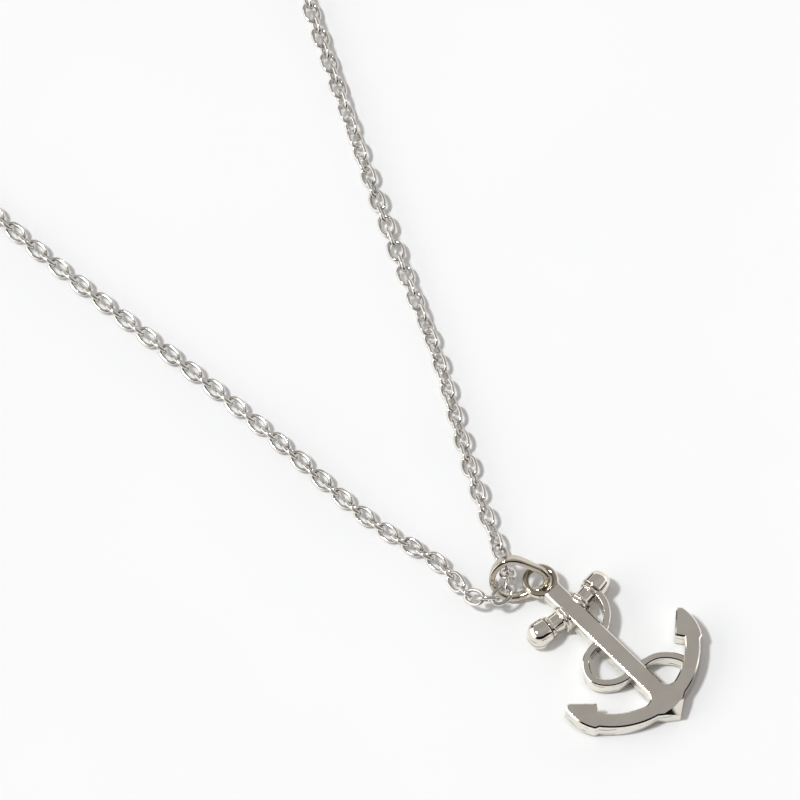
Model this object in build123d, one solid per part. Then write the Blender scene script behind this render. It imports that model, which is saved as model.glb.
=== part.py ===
from build123d import *
from bisect import bisect
import math
import os

# A cast anchor pendant on a tapered bail and a whole cable chain, lying on a table.
# Millimetres, +Z up. The lowest point is at Z 0 and the box is centred on the origin.

# The anchor, drawn upright: X across to the right arm, Y up to the eye, back face at Z 0
anchor_drop = 24.85         # middle of the eye down to the tip of the crown
thickness = 2.4
edge_bevel = 0.18
shank_width = 2.3
shank_top = 1.9             # how far below the middle of the eye the shank's top ends
crotch_radius = 1.1         # fillets between the shank and the arms
arm_radius = 11.15          # outer edge of the arms
arm_width = 1.9
crown_point = 1.45          # how far the crown's tip stands past the arms' outer edge
crown_half_width = 2.3
crown_slope = 0.75          # how far the crown's tip falls below the top face
crown_ridge = 1.15          # length of the ridge that runs up from the tip
crown_sweep = 8.0           # degrees that the facets' top edges run back along the arms
fluke_start = 53.0          # degrees round the arms from the crown to the barbs
fluke_end = 77.5            # degrees round to the fluke's tip
fluke_inner_barb = 2.1      # barb tips, in and out from the middle line of the arm
fluke_outer_barb = 1.24
fluke_barb_hook = 2.7       # degrees that the inner barb stands on from the outer one
fluke_notch = 3.0           # degrees that the outer barb's foot runs back along the arm
fluke_tip_width = 0.95
fluke_tip_length = 1.7      # degrees that the blunt tip is long
fluke_bulge = 0.18          # how far the fluke's outer side is rounded
fluke_lean = 0.35           # how far the fluke's tip leans in from the arm's middle line
arm_middle = arm_radius + crown_point - anchor_drop     # Y of the arms' middle

# The eye at the top of the shank
eye_wire = 0.9
eye_radius = 1.85           # middle line of the ring

# The stock, turned about a line across the shank, with straight walls down to the back
stock_drop = 5.6            # middle of the eye down to the stock
stock_bow = 7.0             # degrees that each half leans up from the shank
stock_axis_height = 1.15
stock_half_length = 6.45
collar_radius = 1.5
collar_end = 1.9
collar_ridge = 0.12         # depth of the groove round the collar
neck_radius = 1.1
neck_end = 3.2
bead_radius = 1.32
bead_end = 3.82
knob_radius = 1.5
knob_round = 1.25           # rounding of the knob's outer end
knob_bulge = (0.78, 0.66)   # a point of the rounding, as shares of knob_round and knob_radius
stock_step = 0.12           # slope of the steps between the stock's parts

# The rope that winds round the shank
rope_width = 0.88
rope_height = 2.15
rope_bevel = 0.12
rope_reach = 5.2            # shank's middle out to the rope's left loop

# The rope's middle line: across as a share of its reach, down as a share of the way
# from the stock to the arms
ROPE_PATH = [
    (0.72, 0.0),
    (0.58, 0.19),
    (0.24, 0.285),
    (-0.19, 0.34),
    (-0.55, 0.36),
    (-0.82, 0.435),
    (-0.905, 0.53),
    (-0.77, 0.615),
    (-0.44, 0.685),
    (0.605, 0.728),
    (0.845, 0.79),
    (1.06, 0.93),
]

# The bail: a drop-shaped loop, wide at the chain and narrow in the eye
bail_length = 7.5
bail_wide_radius = 2.95     # outer radius at the chain
bail_narrow_radius = 1.95   # outer radius in the eye
bail_wall = 0.8
bail_band_wide = 1.85
bail_band_narrow = 0.8
bail_bevel = 0.22
bail_gap = 0.15             # between the bail's narrow end and the eye's far side
bail_tip_reach = eye_radius - eye_wire / 2 - bail_gap   # past the middle of the eye

# The cable chain
link_length = 3.1
link_width = 2.25
link_wire = 0.5
link_pitch = 1.82

# The plain clasp at the back of the neck, with an eye at each end
clasp_length = 9.0
clasp_radius = 1.5
clasp_end_radius = 0.9
clasp_shoulder = 0.45       # share of the body's half that is straight
clasp_swell = 0.06          # how far its ends bulge
clasp_eye_radius = 0.95
clasp_eye_wire = 0.6
link_gap = 0.16             # gap between the clasp's eyes and the links in them

# How the pieces lie, with the middle of the eye over X 0, Y 0
anchor_heading = 44.0       # degrees from +X round to the right arm
anchor_tilt = 3.0           # degrees, the eye lifted by the bail that passes under it
bail_heading = 176.0        # degrees from +X round to the bail's wide end
bail_lean = 53.0            # degrees that the bail's far side stands up
clasp_place = (-111.1, 162.8)
clasp_heading = 33.0        # degrees from +X along the clasp

# The chain's route, chosen by hand: X, Y, lift off the table, roll in degrees. It runs from
# the clasp down the left side, up through the bail and back up the right side.
CHAIN_ROUTE = [
    (-118.7, 156.1, 0, 0),
    (-126.4, 140.4, 0, 5),
    (-125.4, 121.4, 0, 10),
    (-115.9, 101.3, 0, 20),
    (-101.3, 83.3, 0, 28),
    (-83.3, 66.4, 0, 28),
    (-64.0, 47.8, 0, 28),
    (-46.8, 32.7, 0, 26),
    (-29.4, 17.0, 0, 28),
    (-17.7, 6.6, 0, 34),
    (-11.1, 1.6, 0.1, 34),
    (-9.5, -0.7, 0.3, 25),
    (-7.0, -2.5, 1.5, 18),
    (-4.4, -1.9, 2.0, 13),
    (-4.1, -0.4, 2.2, 6),
    (-4.0, 1.3, 1.1, 11),
    (-4.3, 2.2, 0.7, 0),
    (-4.9, 4.4, 0.3, 27),
    (-6.2, 8.4, 0, 58),
    (-8.3, 15.1, 0, 66),
    (-11.1, 25.9, 0, 50),
    (-13.1, 33.0, 0, 46),
    (-15.2, 38.9, 0, 15),
    (-19.9, 52.5, 0, -24),
    (-24.9, 68.4, 0, -75),
    (-34.3, 98.2, 0, -85),
    (-42.5, 121.5, 0, -60),
    (-53.0, 142.2, 0, -40),
    (-67.5, 159.0, 0, -15),
    (-84.4, 167.7, 0, 0),
    (-101.9, 167.0, 0, 0),
]


def arm_point(side, offset, angle):
    """A point of an arm: offset out from its middle line, angle in degrees round from the crown."""
    radius = arm_radius - arm_width / 2 + offset
    turn = math.radians(angle)
    return (side * radius * math.sin(turn), arm_middle - radius * math.cos(turn))


def fluke(side):
    """The arrowhead at an arm's end, in plan."""
    half_tip = fluke_tip_width / 2
    half_root = arm_width / 2 - edge_bevel / 2
    shoulder = fluke_end - fluke_tip_length
    inner_barb = arm_point(side, -fluke_inner_barb, fluke_start + fluke_barb_hook)
    inner_tip = arm_point(side, -fluke_lean - half_tip, shoulder)
    peak = arm_point(side, -fluke_lean, fluke_end)
    outer_tip = arm_point(side, half_tip - fluke_lean, shoulder)
    outer_middle = (half_tip - fluke_lean + fluke_outer_barb) / 2
    outer_side = arm_point(side, outer_middle + fluke_bulge, (fluke_start + fluke_end) / 2)
    outer_barb = arm_point(side, fluke_outer_barb, fluke_start)
    outer_root = arm_point(side, half_root, fluke_start - fluke_notch)
    inner_root = arm_point(side, -half_root, fluke_start)
    outline = [
        Line(inner_barb, inner_tip),
        Line(inner_tip, peak),
        Line(peak, outer_tip),
        ThreePointArc(outer_tip, outer_side, outer_barb),
        Line(outer_barb, outer_root),
        Line(outer_root, inner_root),
        Line(inner_root, inner_barb),
    ]
    return make_face(Curve() + outline)


def arms():
    """The crescent of the two arms and the crown's point, in plan."""
    inner = arm_radius - arm_width
    ring = Pos(0, arm_middle) * (Circle(arm_radius) - Circle(inner))
    right_end = arm_point(1, arm_radius, fluke_start + 1)
    left_end = arm_point(-1, arm_radius, fluke_start + 1)
    far_below = (0, arm_middle - 4 * arm_radius)
    sector = make_face(Polyline((0, arm_middle), right_end, far_below, left_end, close=True))
    rim = arm_middle - math.sqrt(arm_radius**2 - crown_half_width**2)
    tip = (0, -anchor_drop)
    root = (0, arm_middle - inner - arm_width / 2)
    crown = make_face(
        Polyline(tip, (crown_half_width, rim), root, (-crown_half_width, rim), close=True)
    )
    return (ring & sector) + crown


def flat_casting():
    """Shank, arms and flukes: one plate with bevelled edges and a ridge at the crown."""
    shank_length = anchor_drop - crown_point - arm_width / 2 - shank_top
    shank = Pos(0, -shank_top - shank_length / 2) * Rectangle(shank_width, shank_length)
    plan = shank + arms()
    crotch = [
        v for v in plan.vertices()
        if abs(abs(v.X) - shank_width / 2) < 0.01 and arm_middle - arm_radius < v.Y < arm_middle
    ]
    plan = fillet(crotch, crotch_radius)
    plan = plan + fluke(-1) + fluke(1)
    plate = extrude(plan, thickness)
    top = plate.edges().filter_by_position(Axis.Z, thickness - 0.01, thickness + 0.01)
    return chamfer(top, edge_bevel)


def stock():
    """The turned cross bar, with its plan carried straight down to the back face."""
    groove = (collar_end - shank_width / 2) / 3
    groove_middle = shank_width / 2 + groove
    collar_start = shank_width / 2 - edge_bevel
    corners = [
        (0, 0),
        (0, neck_radius),
        (collar_start, neck_radius),
        (collar_start, collar_radius),
        (groove_middle - groove / 2, collar_radius),
        (groove_middle, collar_radius - collar_ridge),
        (groove_middle + groove / 2, collar_radius),
        (collar_end - stock_step, collar_radius),
        (collar_end, neck_radius),
        (neck_end, neck_radius),
        (neck_end + stock_step, bead_radius),
        (bead_end - stock_step, bead_radius),
        (bead_end, neck_radius),
        (bead_end + stock_step, knob_radius),
        (stock_half_length - knob_round, knob_radius),
    ]
    bulge_along, bulge_out = knob_bulge
    bulge = (stock_half_length - knob_round * (1 - bulge_along), knob_radius * bulge_out)
    end = ThreePointArc(corners[-1], bulge, (stock_half_length, 0))
    half = make_face(Curve() + [Polyline(*corners), end, Line((stock_half_length, 0), (0, 0))])
    dome = revolve(half, Axis.X, 180)
    walls = extrude(half + mirror(half, Plane.XZ), -stock_axis_height)
    right = Rot(0, 0, stock_bow) * (dome + walls)
    whole = right + mirror(right, Plane.YZ)
    return Pos(0, -stock_drop, stock_axis_height) * whole


def rope():
    """The flat rope: from the right knob, behind the shank, round to the left and into the right arm."""
    stretch = anchor_drop - crown_point - arm_width - stock_drop
    points = [(across * rope_reach, -stock_drop - down * stretch) for across, down in ROPE_PATH]
    band = trace(Spline(*points), rope_width)
    solid = extrude(band, rope_height)
    top = solid.edges().filter_by_position(Axis.Z, rope_height - 0.01, rope_height + 0.01)
    return chamfer(top, rope_bevel)


def crown_facet(side):
    """What is cut from the top of the crown's tip on one side of its ridge."""
    sweep = crown_half_width * math.tan(math.radians(crown_sweep))
    ridge_end = Vector(0, crown_ridge - anchor_drop, thickness)
    tip = Vector(0, -anchor_drop, thickness - crown_slope)
    corner = ridge_end + Vector(side * crown_half_width, sweep, 0)
    overrun = 3
    beyond_tip = ridge_end + (tip - ridge_end) * overrun
    beyond_corner = ridge_end + (corner - ridge_end) * overrun
    facet = make_face(Polyline(ridge_end, beyond_tip, beyond_corner, close=True))
    return extrude(facet, thickness, dir=(0, 0, 1))


def anchor():
    """The whole casting, one solid."""
    eye = Pos(0, 0, thickness / 2) * Torus(eye_radius, eye_wire / 2)
    casting = flat_casting() + stock() + rope() + eye
    return casting - crown_facet(-1) - crown_facet(1)


def drop_shape(wide_radius, narrow_radius):
    """A drop in plan, from the narrow circle to the wide one, about the middle of the eye."""
    narrow = Pos(bail_narrow_radius - bail_tip_reach, 0) * Circle(narrow_radius)
    wide = Pos(bail_length - bail_tip_reach - bail_wide_radius, 0) * Circle(wide_radius)
    return make_hull(narrow.edges() + wide.edges())


def bail():
    """The tapered loop, flat in plan, its length along X."""
    outer = drop_shape(bail_wide_radius, bail_narrow_radius)
    inner = drop_shape(bail_wide_radius - bail_wall, bail_narrow_radius - bail_wall)
    band = extrude(outer - inner, bail_band_wide, both=True)
    low = -bail_tip_reach
    high = bail_length - bail_tip_reach
    side = Polyline(
        (low, -bail_band_narrow / 2), (high, -bail_band_wide / 2),
        (high, bail_band_wide / 2), (low, bail_band_narrow / 2), close=True,
    )
    taper = extrude(Plane.XZ * make_face(side), 2 * bail_wide_radius, both=True)
    loop = band & taper
    return fillet(loop.edges(), bail_bevel)


def link():
    """One oval link round Z, its length along X."""
    middle = (link_width - link_wire) / 2
    path = SlotOverall(link_length - link_wire, 2 * middle).face().outer_wire()
    section = Plane(origin=path @ 0, z_dir=path % 0) * Circle(link_wire / 2)
    return sweep(section, path)


def laid_anchor():
    """The anchor on the table: it lies on its crown, with its eye lifted by the tilt."""
    lift = anchor_drop * math.sin(math.radians(anchor_tilt))
    return Pos(0, 0, lift) * Rot(0, 0, anchor_heading) * Rot(anchor_tilt, 0, 0) * anchor()


def laid_bail():
    """The bail on the table, through the eye, leaning on its near side."""
    leaning = Rot(0, 0, bail_heading) * Rot(-bail_lean, 0, 0) * bail()
    return Pos(0, 0, -leaning.bounding_box().min.Z) * leaning


def clasp():
    """The plain closed clasp, a turned body with an eye at each end, its length along X."""
    eye_place = clasp_length / 2 - clasp_eye_radius - clasp_eye_wire / 2
    body_end = eye_place - clasp_eye_radius + clasp_eye_wire / 2
    shoulder = body_end * clasp_shoulder
    corners = [(0, 0), (0, clasp_radius), (shoulder, clasp_radius)]
    swell = ThreePointArc(
        corners[-1],
        ((shoulder + body_end) / 2, (clasp_radius + clasp_end_radius) / 2 + clasp_swell),
        (body_end, clasp_end_radius),
    )
    close = Polyline((body_end, clasp_end_radius), (body_end, 0), (0, 0))
    half = revolve(make_face(Curve() + [Polyline(*corners), swell, close]), Axis.X, 360)
    eye = Pos(eye_place, 0, 0) * Rot(90, 0, 0) * Torus(clasp_eye_radius, clasp_eye_wire / 2)
    right = half + eye
    return right + mirror(right, Plane.YZ)


def between(marks, values, mark):
    """The value at a mark, in line between its neighbours."""
    place = min(max(bisect(marks, mark), 1), len(marks) - 1)
    share = (mark - marks[place - 1]) / (marks[place] - marks[place - 1])
    return values[place - 1] + share * (values[place] - values[place - 1])


def resting_height(roll):
    """The middle of the chain over the table, where links turned by roll and by 90 more lie on it."""
    turn = math.radians(roll)
    middle = (link_width - link_wire) / 2
    return link_wire / 2 + middle * max(abs(math.sin(turn)), abs(math.cos(turn)))


def chain(clasp_middle):
    """Every link along the route, each turned 90 degrees from the one before."""
    along_clasp = Vector(1, 0, 0).rotate(Axis.Z, clasp_heading)
    to_eye = along_clasp * (clasp_length / 2 - clasp_eye_radius - clasp_eye_wire / 2)
    flat_middle = Vector(clasp_middle.X, clasp_middle.Y, clasp_middle.Z - resting_height(0))
    straight = to_eye + along_clasp * link_length
    points = [
        flat_middle - to_eye,
        flat_middle - straight,
        *(Vector(row[:3]) for row in CHAIN_ROUTE),
        flat_middle + straight,
        flat_middle + to_eye,
    ]
    rolls = [0, 0, *(row[3] for row in CHAIN_ROUTE), 0, 0]
    curve = Spline(*points)
    spans = [(b - a).length for a, b in zip(points, points[1:])]
    marks = [sum(spans[:count]) * curve.length / sum(spans) for count in range(len(points))]
    lead = clasp_eye_radius - (clasp_eye_wire + link_wire) / 2 - link_gap + (link_length - link_wire) / 2
    count = 2 * round((curve.length - 2 * lead) / link_pitch / 2) + 1
    step = (curve.length - 2 * lead) / (count - 1)
    one_link = link()
    links = []
    for number in range(count):
        distance = lead + number * step
        roll = between(marks, rolls, distance)
        place = curve.position_at(distance, position_mode=PositionMode.LENGTH)
        ahead = curve.tangent_at(distance, position_mode=PositionMode.LENGTH)
        middle = Vector(place.X, place.Y, max(place.Z, 0) + resting_height(roll))
        turn = math.radians(roll + 90 * (number % 2))
        level_side = ahead.cross(Vector(0, 0, 1)).normalized()
        upward = level_side.cross(ahead)
        face = upward * math.cos(turn) + level_side * math.sin(turn)
        links.append(one_link.moved(Location(Plane(origin=middle, x_dir=ahead, z_dir=face))))
    print("chain", count, "links, step", round(step, 3), "length", round(curve.length, 1))
    return Compound(links)


def main():
    clasp_middle = Vector(*clasp_place, clasp_radius)
    nodes = {
        "anchor": laid_anchor(),
        "bail": laid_bail(),
        "chain": chain(clasp_middle),
        "clasp": Location(clasp_middle) * Rot(0, 0, clasp_heading) * clasp(),
    }
    box = Compound([solid for node in nodes.values() for solid in node.solids()]).bounding_box()
    to_origin = Pos(-box.center().X, -box.center().Y, -box.min.Z)
    os.makedirs("parts", exist_ok=True)
    for name, node in nodes.items():
        export_step(to_origin * node, f"parts/{name}.step")
    print("box", box.size, "moved by", to_origin.position)


main()
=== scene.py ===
import math

import bpy
import numpy as np
from mathutils import Matrix, Vector


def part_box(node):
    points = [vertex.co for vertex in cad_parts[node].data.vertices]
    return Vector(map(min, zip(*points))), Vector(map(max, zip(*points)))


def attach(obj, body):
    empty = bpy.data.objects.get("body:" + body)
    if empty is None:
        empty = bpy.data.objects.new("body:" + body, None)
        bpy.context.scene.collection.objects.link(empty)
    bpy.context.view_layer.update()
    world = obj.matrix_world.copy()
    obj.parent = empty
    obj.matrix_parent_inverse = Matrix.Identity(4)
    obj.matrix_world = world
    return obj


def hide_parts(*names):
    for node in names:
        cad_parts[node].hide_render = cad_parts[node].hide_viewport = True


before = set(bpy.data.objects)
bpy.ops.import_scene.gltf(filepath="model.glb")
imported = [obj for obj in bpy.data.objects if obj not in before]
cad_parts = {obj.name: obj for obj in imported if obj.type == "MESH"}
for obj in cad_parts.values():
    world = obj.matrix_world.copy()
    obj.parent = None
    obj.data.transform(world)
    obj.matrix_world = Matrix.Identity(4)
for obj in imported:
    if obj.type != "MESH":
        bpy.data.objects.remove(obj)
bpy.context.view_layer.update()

# The looks of a cast anchor pendant on a bail and a cable chain, lying on a pale surface.
# Metres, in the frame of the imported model.

MM = 0.001

# The camera looks down at the pendant through a long lens
CAMERA_ELEVATION = 64.0         # degrees above the surface
CAMERA_LENS = 1400.0            # mm, long enough for nearly parallel lines
SENSOR_WIDTH = 36.0             # mm
VIEW_WIDTH = 98.77 * MM         # what the picture is wide at the pendant
EYE_TO_VIEW = Vector((-17.22, 25.97, 0)) * MM   # from the anchor's eye to the picture's middle
EYE_FROM_CORNER = Vector((2.255, -2.253, 0)) * MM   # from the low X, high Y corner of the anchor's box

# How the anchor lies: the heading of its right side, and the lift of its eye
ANCHOR_HEADING = 44.0           # degrees from +X
ANCHOR_TILT = 3.0               # degrees
ANCHOR_DROP = 24.85 * MM        # middle of the eye down to the tip of the crown

# The turned stock across the shank
STOCK_DROP = 5.6 * MM           # middle of the eye down to the stock
STOCK_BOW = 7.0                 # degrees that each half leans up from the shank
STOCK_AXIS_HEIGHT = 1.15 * MM

# Its profile in millimetres: X out from the shank's middle, radius, rounding of the corner
STOCK_PROFILE = [
    (0.0, 1.1, 0),
    (0.97, 1.1, 0),
    (0.97, 1.5, 0.08),
    (1.28, 1.5, 0.06),
    (1.4, 1.38, 0.05),
    (1.52, 1.5, 0.06),
    (1.78, 1.5, 0.09),
    (1.9, 1.1, 0.12),
    (3.2, 1.1, 0.12),
    (3.32, 1.32, 0.08),
    (3.7, 1.32, 0.08),
    (3.82, 1.1, 0.06),
    (3.94, 1.5, 0.12),
    (5.2, 1.5, 0.25),
]
KNOB_END = 6.45                 # X of the knob's end
KNOB_BULGE = (0.78, 0.66)       # where the knob's end passes, as shares of its depth and radius
KNOB_TIP = 0.001                # radius left at the very end
KNOB_STEPS = 18
CORNER_STEPS = 5
STOCK_COVER = 0.015             # how far the fine stock stands over the CAD one
STOCK_STEPS_ROUND = 48
STOCK_SQUARENESS = 2.35         # 2 is a round back, more is flatter on top

# The chain's links, finer than the CAD mesh
LINK_LENGTH = 3.1 * MM
LINK_WIDTH = 2.25 * MM
LINK_WIRE = 0.48 * MM
LINK_OVAL = 2.3                 # 2 is an ellipse, more is squarer
LINK_STEPS_ROUND_OVAL = 32
LINK_STEPS_ROUND_WIRE = 12

# The CAD pieces' shading: points this near are one, and edges this sharp stay sharp
WELD_REACH = 0.002 * MM
CREASE = 32                     # degrees

# The metals' colours, each a darker and a lighter one
PALE = ((0.79, 0.755, 0.68), (0.85, 0.815, 0.74))
WARM = ((0.5, 0.45, 0.375), (0.63, 0.575, 0.49))
DARK = ((0.64, 0.625, 0.59), (0.74, 0.725, 0.69))

# Their unevenness: noise scales per metre, and the part of the noise from none to full
CLOUD_SCALE = 260               # of the colour
CLOUD_RANGE = (0.35, 0.65)
HAZE_SCALE = 900                # of the gloss
HAZE_RANGE = (0.35, 0.7)
GRAIN_SCALE = 4200              # of the finest bumps
GRAIN_SHARE = 0.06              # of the ripples' height
EDGE_SAMPLES = 8

# Painted shade: the metal's colour darkened in its recesses, next to other parts and near the surface, by
# ambient occlusion
RECESS_REACH = 0.9 * MM
RECESS_RANGE = (0.3, 0.8)       # share of open sky, from full painted shade to none
RECESS_SHADE_COLOR = (0.3, 0.26, 0.2)
RECESS_SAMPLES = 6

# Painted reflection: dark lines that wander along the upright walls
WALL_RANGE = (0.2, 0.5)         # upward part of the normal, from a wall to none
REFLECTION_LINE_SPACING = 1.15 * MM
REFLECTION_LINE_CREST = (0.55, 0.95)     # part of the wave that is dark
REFLECTION_LINE_WANDER = 7.0             # radians of the lines' phase
REFLECTION_LINE_WANDER_SCALE = 330       # per metre
REFLECTION_LINE_PRESENCE_SCALE = 450     # per metre
REFLECTION_LINE_PRESENCE_RANGE = (0.44, 0.62)
REFLECTION_LINE_DEPTH = 0.75
REFLECTION_LINE_COLOR = (0.16, 0.135, 0.1)

# Painted shade on the eye's ring, where the bail passes through it
EYE_REACH = (1.9 * MM, 2.5 * MM)    # from the middle of the eye, from full to none
EYE_SHADE_COLOR = (0.5, 0.45, 0.375)

# The surface under the necklace
SURFACE_COLORS = ((0.892, 0.896, 0.9), (0.906, 0.91, 0.914))
SURFACE_CLOUD_SCALE = 30        # per metre
SURFACE_CLOUD_RANGE = (0.3, 0.7)
SURFACE_ROUGHNESS = 0.7
SURFACE_SPECULAR = 0.2
SURFACE_HALF = 4.0              # metres

# The light from the upper left
KEY_FROM = (257, 64)            # azimuth clockwise from +Y and elevation, in degrees
KEY_ENERGY = 1.92
KEY_WIDTH = 8                   # degrees
KEY_COLOR = (0.958, 0.985, 1.0)

# What stands round the table, seen in the metal: azimuth clockwise from +Y, elevation, half
# width and half height in degrees, soft edge in degrees, brightness
CARDS = [
    ("pale front", 180, 7, 60, 10, 4, 0.7),
    ("dark front", 165, 31, 52, 17, 4, 0.01),
    ("bright left", 265, 22, 36, 20, 6, 1.9),
    ("bright right", 60, 10, 24, 16, 8, 1.4),
    ("pale right", 100, 32, 16, 12, 6, 0.9),
    ("dark right", 102, 11, 18, 7, 4, 0.03),
    ("bright back", 0, 18, 40, 12, 10, 1.1),
    ("soft high right", 60, 66, 14, 24, 9, 0.46),
    ("dark left back", 316, 12, 18, 12, 6, 0.08),
]
ROOM_BRIGHTNESS = 0.4
ROOM_COLOR = (1.0, 0.965, 0.945)


def new_material(name):
    """A material with an empty Principled shader, and its node tree."""
    material = bpy.data.materials.new(name)
    material.use_nodes = True
    tree = material.node_tree
    shader = tree.nodes["Principled BSDF"]
    return material, tree, shader


def noise(tree, coordinates, scale, detail=3.0, roughness=0.5):
    """A noise texture's factor at the coordinates; scale is per metre."""
    node = tree.nodes.new("ShaderNodeTexNoise")
    node.inputs["Scale"].default_value = scale
    node.inputs["Detail"].default_value = detail
    node.inputs["Roughness"].default_value = roughness
    tree.links.new(coordinates, node.inputs["Vector"])
    return node.outputs["Fac"]


def remap(tree, value, low, high, to_low, to_high):
    """Takes the range low..high to to_low..to_high, smoothly and held at the ends."""
    node = tree.nodes.new("ShaderNodeMapRange")
    node.interpolation_type = "SMOOTHSTEP"
    node.inputs["From Min"].default_value = low
    node.inputs["From Max"].default_value = high
    node.inputs["To Min"].default_value = to_low
    node.inputs["To Max"].default_value = to_high
    tree.links.new(value, node.inputs["Value"])
    return node.outputs["Result"]


def math_node(tree, operation, first, second):
    node = tree.nodes.new("ShaderNodeMath")
    node.operation = operation
    for socket, value in zip(node.inputs, (first, second)):
        if isinstance(value, (int, float)):
            socket.default_value = value
        else:
            tree.links.new(value, socket)
    return node.outputs["Value"]


def mix_color(tree, factor, first, second):
    node = tree.nodes.new("ShaderNodeMix")
    node.data_type = "RGBA"
    tree.links.new(factor, node.inputs["Factor"])
    for socket, value in ((node.inputs["A"], first), (node.inputs["B"], second)):
        if isinstance(value, tuple):
            socket.default_value = (*value, 1)
        else:
            tree.links.new(value, socket)
    return node.outputs["Result"]


def polished_metal(name, colors, ripple_scale, ripple_height, roughness, recess_shade_depth, edge_radius=0.0):
    """Plated, polished metal: uneven in colour and gloss, faintly rippled, with painted shade in its
    recesses.
    """
    material, tree, shader = new_material(name)
    coordinates = tree.nodes.new("ShaderNodeTexCoord").outputs["Object"]
    clouds = noise(tree, coordinates, CLOUD_SCALE, 2.0)
    tone = remap(tree, clouds, *CLOUD_RANGE, 0, 1)
    own_color = mix_color(tree, tone, *colors)
    # Painted shade: ambient occlusion darkens the colour in recesses and next to other parts
    recess = tree.nodes.new("ShaderNodeAmbientOcclusion")
    recess.samples = RECESS_SAMPLES
    recess.inputs["Distance"].default_value = RECESS_REACH
    painted_recess_shade = remap(tree, recess.outputs["AO"], *RECESS_RANGE, recess_shade_depth, 0)
    color = mix_color(tree, painted_recess_shade, own_color, RECESS_SHADE_COLOR)
    tree.links.new(color, shader.inputs["Base Color"])
    shader.inputs["Metallic"].default_value = 1.0
    haze = noise(tree, coordinates, HAZE_SCALE, 4.0, 0.6)
    gloss = remap(tree, haze, *HAZE_RANGE, *roughness)
    tree.links.new(gloss, shader.inputs["Roughness"])
    ripples = noise(tree, coordinates, ripple_scale, 1.5)
    grain = noise(tree, coordinates, GRAIN_SCALE, 2.0)
    height = math_node(tree, "ADD", ripples, math_node(tree, "MULTIPLY", grain, GRAIN_SHARE))
    bump = tree.nodes.new("ShaderNodeBump")
    bump.inputs["Distance"].default_value = ripple_height
    bump.inputs["Strength"].default_value = 1.0
    tree.links.new(height, bump.inputs["Height"])
    if edge_radius:
        rounded = tree.nodes.new("ShaderNodeBevel")
        rounded.samples = EDGE_SAMPLES
        rounded.inputs["Radius"].default_value = edge_radius
        tree.links.new(rounded.outputs["Normal"], bump.inputs["Normal"])
    tree.links.new(bump.outputs["Normal"], shader.inputs["Normal"])
    return material


def tint(material, share, color):
    """Mixes a colour into a material's own by a share from its node tree."""
    tree = material.node_tree
    socket = tree.nodes["Principled BSDF"].inputs["Base Color"]
    tree.links.new(mix_color(tree, share, socket.links[0].from_socket, color), socket)


def painted_wall_reflection_lines(tree):
    """The share of painted reflection: thin dark lines that wander along the upright walls, and come and
    go.
    """
    geometry = tree.nodes.new("ShaderNodeNewGeometry")
    place = geometry.outputs["Position"]
    parts = tree.nodes.new("ShaderNodeSeparateXYZ")
    tree.links.new(geometry.outputs["True Normal"], parts.inputs["Vector"])
    slope = math_node(tree, "ABSOLUTE", parts.outputs["Z"], 0)
    wall = remap(tree, slope, *WALL_RANGE, 1, 0)
    height = tree.nodes.new("ShaderNodeVectorMath")
    height.operation = "DOT_PRODUCT"
    tree.links.new(place, height.inputs[0])
    height.inputs[1].default_value = anchor_place().to_3x3() @ Vector((0, 0, 1))
    turns = math_node(tree, "MULTIPLY", height.outputs["Value"], 2 * math.pi / REFLECTION_LINE_SPACING)
    wander = math_node(tree, "MULTIPLY", noise(tree, place, REFLECTION_LINE_WANDER_SCALE, 1.0), REFLECTION_LINE_WANDER)
    wave = math_node(tree, "SINE", math_node(tree, "ADD", turns, wander), 0)
    lines = remap(tree, wave, *REFLECTION_LINE_CREST, 0, 1)
    clouds = noise(tree, place, REFLECTION_LINE_PRESENCE_SCALE, 2.0)
    presence = remap(tree, clouds, *REFLECTION_LINE_PRESENCE_RANGE, 0, REFLECTION_LINE_DEPTH)
    return math_node(tree, "MULTIPLY", wall, math_node(tree, "MULTIPLY", lines, presence))


def eye_shade_share(tree):
    """The share of painted shade round the eye: full at its ring, none on the shank."""
    flat = tree.nodes.new("ShaderNodeVectorMath")
    flat.operation = "MULTIPLY"
    flat.inputs[1].default_value = (1, 1, 0)
    tree.links.new(tree.nodes.new("ShaderNodeNewGeometry").outputs["Position"], flat.inputs[0])
    distance = tree.nodes.new("ShaderNodeVectorMath")
    distance.operation = "DISTANCE"
    tree.links.new(flat.outputs["Vector"], distance.inputs[0])
    distance.inputs[1].default_value = eye_place()
    return remap(tree, distance.outputs["Value"], *EYE_REACH, 1, 0)


def dress(node, material):
    """Gives a CAD node its material and smooth shading that stops at its real edges."""
    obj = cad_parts[node]
    obj.data.materials.clear()
    obj.data.materials.append(material)
    for stored in ("custom_normal", "sharp_edge"):
        if stored in obj.data.attributes:
            obj.data.attributes.remove(obj.data.attributes[stored])
    weld = obj.modifiers.new("weld", "WELD")
    weld.merge_threshold = WELD_REACH
    split = obj.modifiers.new("edges", "EDGE_SPLIT")
    split.split_angle = math.radians(CREASE)
    split.use_edge_sharp = False
    for polygon in obj.data.polygons:
        polygon.use_smooth = True
    return obj


def islands(mesh):
    """The loose parts of a mesh, each as an array of its vertices' places."""
    places = np.empty(len(mesh.vertices) * 3)
    mesh.vertices.foreach_get("co", places)
    places = places.reshape(-1, 3)
    _, same = np.unique(np.round(places / 1e-7).astype(np.int64), axis=0, return_inverse=True)
    same = same.ravel()
    group = np.arange(same.max() + 1)
    ends = np.empty(len(mesh.edges) * 2, dtype=np.int64)
    mesh.edges.foreach_get("vertices", ends)
    ends = same[ends.reshape(-1, 2)]
    changed = True
    while changed:
        lowest = np.minimum(group[ends[:, 0]], group[ends[:, 1]])
        before = group.copy()
        np.minimum.at(group, ends[:, 0], lowest)
        np.minimum.at(group, ends[:, 1], lowest)
        group = group[group]
        changed = not np.array_equal(before, group)
    of_vertex = group[same]
    return [places[of_vertex == number] for number in np.unique(of_vertex)]


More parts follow.
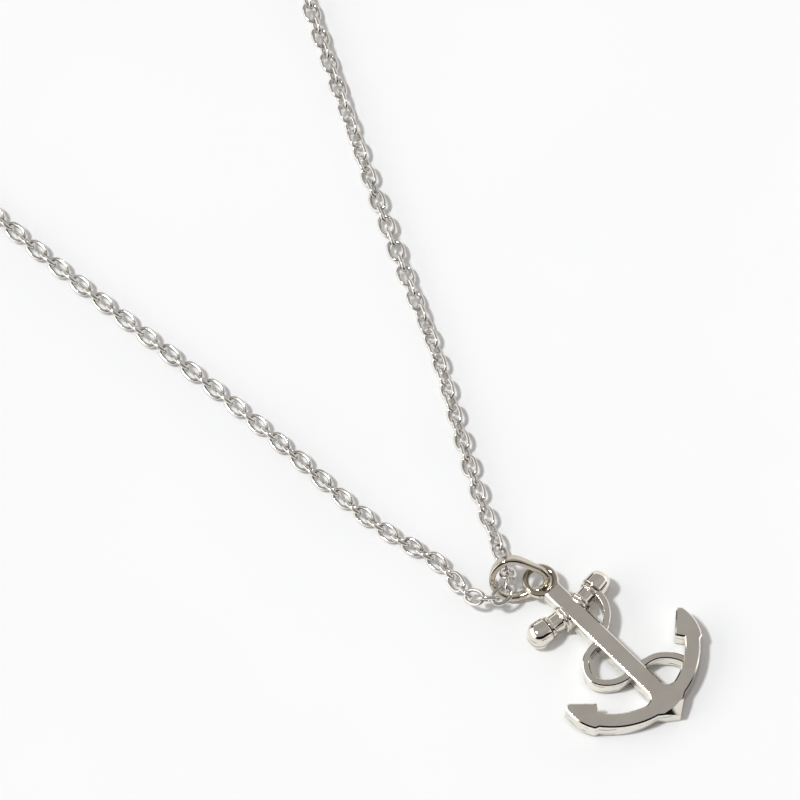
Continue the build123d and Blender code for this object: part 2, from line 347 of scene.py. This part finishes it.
def link_frame(points):
    """A link's middle and its long, cross and face directions, from its points."""
    around = points - (points.min(axis=0) + points.max(axis=0)) / 2
    _, directions = np.linalg.eigh(around.T @ around)
    along, across = directions[:, 2], directions[:, 1]
    face = np.cross(along, across)
    basis = np.stack([along, across, face])
    spread = points @ basis.T
    middle = ((spread.min(axis=0) + spread.max(axis=0)) / 2) @ basis
    return middle, basis


def oval_link():
    """One link's vertices and quads: a round wire bent to an oval, its length along X."""
    half_long = (LINK_LENGTH - LINK_WIRE) / 2
    half_wide = (LINK_WIDTH - LINK_WIRE) / 2
    rows = []
    for step in range(LINK_STEPS_ROUND_OVAL):
        turn = 2 * math.pi * (step + 0.5) / LINK_STEPS_ROUND_OVAL
        x, y = (math.copysign(abs(part) ** (2 / LINK_OVAL), part)
                for part in (math.cos(turn), math.sin(turn)))
        middle = np.array([x * half_long, y * half_wide, 0])
        slope = [math.copysign(abs(part) ** (LINK_OVAL - 1), part) for part in (x, y)]
        outward = np.array([slope[0] / half_long, slope[1] / half_wide, 0])
        outward /= np.linalg.norm(outward)
        for around in range(LINK_STEPS_ROUND_WIRE):
            angle = 2 * math.pi * around / LINK_STEPS_ROUND_WIRE
            offset = outward * math.cos(angle) + np.array([0, 0, math.sin(angle)])
            rows.append(middle + offset * LINK_WIRE / 2)
    quads = []
    for step in range(LINK_STEPS_ROUND_OVAL):
        here = step * LINK_STEPS_ROUND_WIRE
        there = (step + 1) % LINK_STEPS_ROUND_OVAL * LINK_STEPS_ROUND_WIRE
        for around in range(LINK_STEPS_ROUND_WIRE):
            following = (around + 1) % LINK_STEPS_ROUND_WIRE
            quads.append((here + around, there + around, there + following, here + following))
    return np.array(rows), quads


def fine_chain(material):
    """The chain again with finer links, each where the CAD link is."""
    rows, quads = oval_link()
    vertices, faces = [], []
    for points in islands(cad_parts["chain"].data):
        middle, basis = link_frame(points)
        start = len(vertices)
        vertices.extend(rows @ basis + middle)
        faces.extend(tuple(start + corner for corner in quad) for quad in quads)
    mesh = bpy.data.meshes.new("cable_chain")
    mesh.from_pydata(vertices, [], faces)
    mesh.materials.append(material)
    for polygon in mesh.polygons:
        polygon.use_smooth = True
    chain = bpy.data.objects.new("cable_chain", mesh)
    bpy.context.scene.collection.objects.link(chain)
    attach(chain, "root")
    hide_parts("chain")
    return chain


def arc_through(first, second, third, steps):
    """Points on the circle through three points, from the first to the third."""
    a, b = second - first, third - first
    cross = 2 * (a.x * b.y - a.y * b.x)
    middle = first + Vector((b.y * a.length_squared - a.y * b.length_squared,
                             a.x * b.length_squared - b.x * a.length_squared)) / cross
    start, end = (math.atan2(point.y - middle.y, point.x - middle.x) for point in (first, third))
    radius = (first - middle).length
    turns = [start + (end - start) * step / steps for step in range(steps + 1)]
    return [middle + Vector((math.cos(turn), math.sin(turn))) * radius for turn in turns]


def rounded_profile():
    """The stock's profile from the shank out to the knob's end, with its corners rounded."""
    corners = [Vector((x, radius)) for x, radius, _ in STOCK_PROFILE]
    points = [corners[0]]
    for number in range(1, len(corners) - 1):
        before, corner, after = corners[number - 1:number + 2]
        cut = STOCK_PROFILE[number][2]
        start = corner + (before - corner).normalized() * min(cut, (before - corner).length / 2)
        end = corner + (after - corner).normalized() * min(cut, (after - corner).length / 2)
        for step in range(CORNER_STEPS + 1):
            share = step / CORNER_STEPS
            points.append(start.lerp(corner, share).lerp(corner.lerp(end, share), share))
    knob_start, knob_radius = corners[-1]
    bulge = Vector((knob_start + (KNOB_END - knob_start) * KNOB_BULGE[0], knob_radius * KNOB_BULGE[1]))
    return points + arc_through(corners[-1], bulge, Vector((KNOB_END, 0)), KNOB_STEPS)


def fine_stock(material):
    """The turned stock again, smooth, over the CAD one: arches along the stock's line, with side walls."""
    side = [(point.x, max(point.y, 0) + STOCK_COVER) for point in rounded_profile()]
    side.append((KNOB_END + STOCK_COVER, KNOB_TIP))
    stations = [(-x, radius) for x, radius in reversed(side[1:])] + side
    foot = -STOCK_AXIS_HEIGHT / MM
    bow = math.radians(STOCK_BOW)
    vertices, faces = [], []
    for x, radius in stations:
        arch = [(-radius, foot)]
        for step in range(STOCK_STEPS_ROUND + 1):
            turn = math.pi * step / STOCK_STEPS_ROUND
            side_share, top_share = (math.copysign(abs(part) ** (2 / STOCK_SQUARENESS), part)
                                     for part in (-math.cos(turn), math.sin(turn)))
            arch.append((radius * side_share, radius * top_share))
        arch.append((radius, foot))
        for y, z in arch:
            out = abs(x) * math.cos(bow) - y * math.sin(bow)
            vertices.append((math.copysign(out, x), abs(x) * math.sin(bow) + y * math.cos(bow), z))
    row = STOCK_STEPS_ROUND + 3
    for station in range(len(stations) - 1):
        for around in range(row - 1):
            here = station * row + around
            faces.append((here, here + row, here + row + 1, here + 1))
    mesh = bpy.data.meshes.new("turned_stock")
    mesh.from_pydata([Vector(v) * MM for v in vertices], [], faces)
    mesh.materials.append(material)
    for polygon in mesh.polygons:
        polygon.use_smooth = True
    stock = bpy.data.objects.new("turned_stock", mesh)
    bpy.context.scene.collection.objects.link(stock)
    stock.matrix_world = anchor_place() @ Matrix.Translation((0, -STOCK_DROP, STOCK_AXIS_HEIGHT))
    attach(stock, "root")
    return stock


def eye_place():
    """The point on the surface under the middle of the anchor's eye."""
    low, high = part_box("anchor")
    return Vector((low.x, high.y, 0)) + EYE_FROM_CORNER


def anchor_place():
    """From the upright anchor, its eye over the origin and its back at Z 0, to where it lies."""
    low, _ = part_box("anchor")
    eye = eye_place() + Vector((0, 0, low.z))
    lift = ANCHOR_DROP * math.sin(math.radians(ANCHOR_TILT))
    turn = Matrix.Rotation(math.radians(ANCHOR_HEADING), 4, "Z")
    tilt = Matrix.Rotation(math.radians(ANCHOR_TILT), 4, "X")
    return Matrix.Translation(eye + Vector((0, 0, lift))) @ turn @ tilt


def surface():
    """The pale surface that the necklace lies on."""
    material, tree, shader = new_material("surface")
    coordinates = tree.nodes.new("ShaderNodeTexCoord").outputs["Object"]
    clouds = noise(tree, coordinates, SURFACE_CLOUD_SCALE, 2.0)
    faint = remap(tree, clouds, *SURFACE_CLOUD_RANGE, 0, 1)
    color = mix_color(tree, faint, *SURFACE_COLORS)
    tree.links.new(color, shader.inputs["Base Color"])
    shader.inputs["Roughness"].default_value = SURFACE_ROUGHNESS
    shader.inputs["Specular IOR Level"].default_value = SURFACE_SPECULAR
    half = SURFACE_HALF
    mesh = bpy.data.meshes.new("surface")
    corners = [(-half, -half, 0), (half, -half, 0), (half, half, 0), (-half, half, 0)]
    mesh.from_pydata(corners, [], [(0, 1, 2, 3)])
    mesh.materials.append(material)
    plane = bpy.data.objects.new("surface", mesh)
    bpy.context.scene.collection.objects.link(plane)


def toward(azimuth, elevation):
    """The direction at a compass azimuth from +Y (clockwise) and an elevation, in degrees."""
    a, e = math.radians(azimuth), math.radians(elevation)
    return Vector((math.sin(a) * math.cos(e), math.cos(a) * math.cos(e), math.sin(e)))


def studio():
    """The room round the table: an even grey with dark and bright cards."""
    world = bpy.data.worlds.new("studio")
    bpy.context.scene.world = world
    world.use_nodes = True
    tree = world.node_tree
    direction = tree.nodes.new("ShaderNodeTexCoord").outputs["Generated"]

    def part_along(axis):
        node = tree.nodes.new("ShaderNodeVectorMath")
        node.operation = "DOT_PRODUCT"
        tree.links.new(direction, node.inputs[0])
        node.inputs[1].default_value = axis
        return node.outputs["Value"]

    brightness = None
    for _, azimuth, elevation, half_wide, half_high, soft, level in CARDS:
        middle = toward(azimuth, elevation)
        side = toward(azimuth + 90, 0)
        upward = side.cross(middle) if side.cross(middle).z > 0 else middle.cross(side)
        depth = part_along(middle)
        wide = math_node(tree, "ARCTAN2", part_along(side), depth)
        high = math_node(tree, "ARCTAN2", part_along(upward), depth)
        shown = None
        for angle, half in ((wide, half_wide), (high, half_high)):
            size = math_node(tree, "ABSOLUTE", angle, 0)
            near = math.radians(half - soft / 2)
            far = math.radians(half + soft / 2)
            inside = remap(tree, size, near, far, 1, 0)
            shown = inside if shown is None else math_node(tree, "MULTIPLY", shown, inside)
        last = ROOM_BRIGHTNESS if brightness is None else brightness
        step = math_node(tree, "MULTIPLY", shown, math_node(tree, "SUBTRACT", level, last))
        brightness = math_node(tree, "ADD", last, step)
    background = tree.nodes["Background"]
    background.inputs["Color"].default_value = (*ROOM_COLOR, 1)
    tree.links.new(brightness, background.inputs["Strength"])


def key_light():
    """The soft light from the upper left."""
    light = bpy.data.lights.new("key", "SUN")
    light.energy = KEY_ENERGY
    light.angle = math.radians(KEY_WIDTH)
    light.color = KEY_COLOR
    lamp = bpy.data.objects.new("key", light)
    lamp.rotation_mode = "QUATERNION"
    lamp.rotation_quaternion = toward(*KEY_FROM).to_track_quat("Z", "Y")
    bpy.context.scene.collection.objects.link(lamp)


def camera():
    """The photograph's view of the pendant and the near part of the chain."""
    data = bpy.data.cameras.new("camera")
    data.lens = CAMERA_LENS
    data.sensor_width = SENSOR_WIDTH
    distance = VIEW_WIDTH * CAMERA_LENS / SENSOR_WIDTH
    back = toward(180, CAMERA_ELEVATION)
    target = eye_place() + EYE_TO_VIEW
    obj = bpy.data.objects.new("camera", data)
    obj.location = target + back * distance
    obj.rotation_mode = "QUATERNION"
    obj.rotation_quaternion = back.to_track_quat("Z", "Y")
    data.clip_start = distance * 0.1
    data.clip_end = distance * 4
    bpy.context.scene.collection.objects.link(obj)
    bpy.context.scene.camera = obj


cast = polished_metal("cast_metal", PALE, ripple_scale=300, ripple_height=0.04 * MM,
                      roughness=(0.05, 0.11), recess_shade_depth=0.85, edge_radius=0.03 * MM)
stock_metal = polished_metal("stock_metal", PALE, ripple_scale=420, ripple_height=0.012 * MM,
                             roughness=(0.04, 0.09), recess_shade_depth=0.85)
wire = polished_metal("wire_metal", DARK, ripple_scale=700, ripple_height=0.01 * MM,
                      roughness=(0.05, 0.1), recess_shade_depth=0.2)
turned = polished_metal("turned_metal", WARM, ripple_scale=500, ripple_height=0.008 * MM,
                        roughness=(0.05, 0.1), recess_shade_depth=0.9, edge_radius=0.05 * MM)
# Painted reflection: dark lines along the upright walls of the anchor and the stock
for metal in (cast, stock_metal):
    tint(metal, painted_wall_reflection_lines(metal.node_tree), REFLECTION_LINE_COLOR)
# Painted shade: the cast metal darker round the eye
tint(cast, eye_shade_share(cast.node_tree), EYE_SHADE_COLOR)

dress("anchor", cast)
dress("bail", turned)
dress("clasp", turned)
fine_stock(stock_metal)
fine_chain(wire)
surface()
studio()
key_light()
camera()
bpy.context.scene.view_settings.view_transform = "Standard"
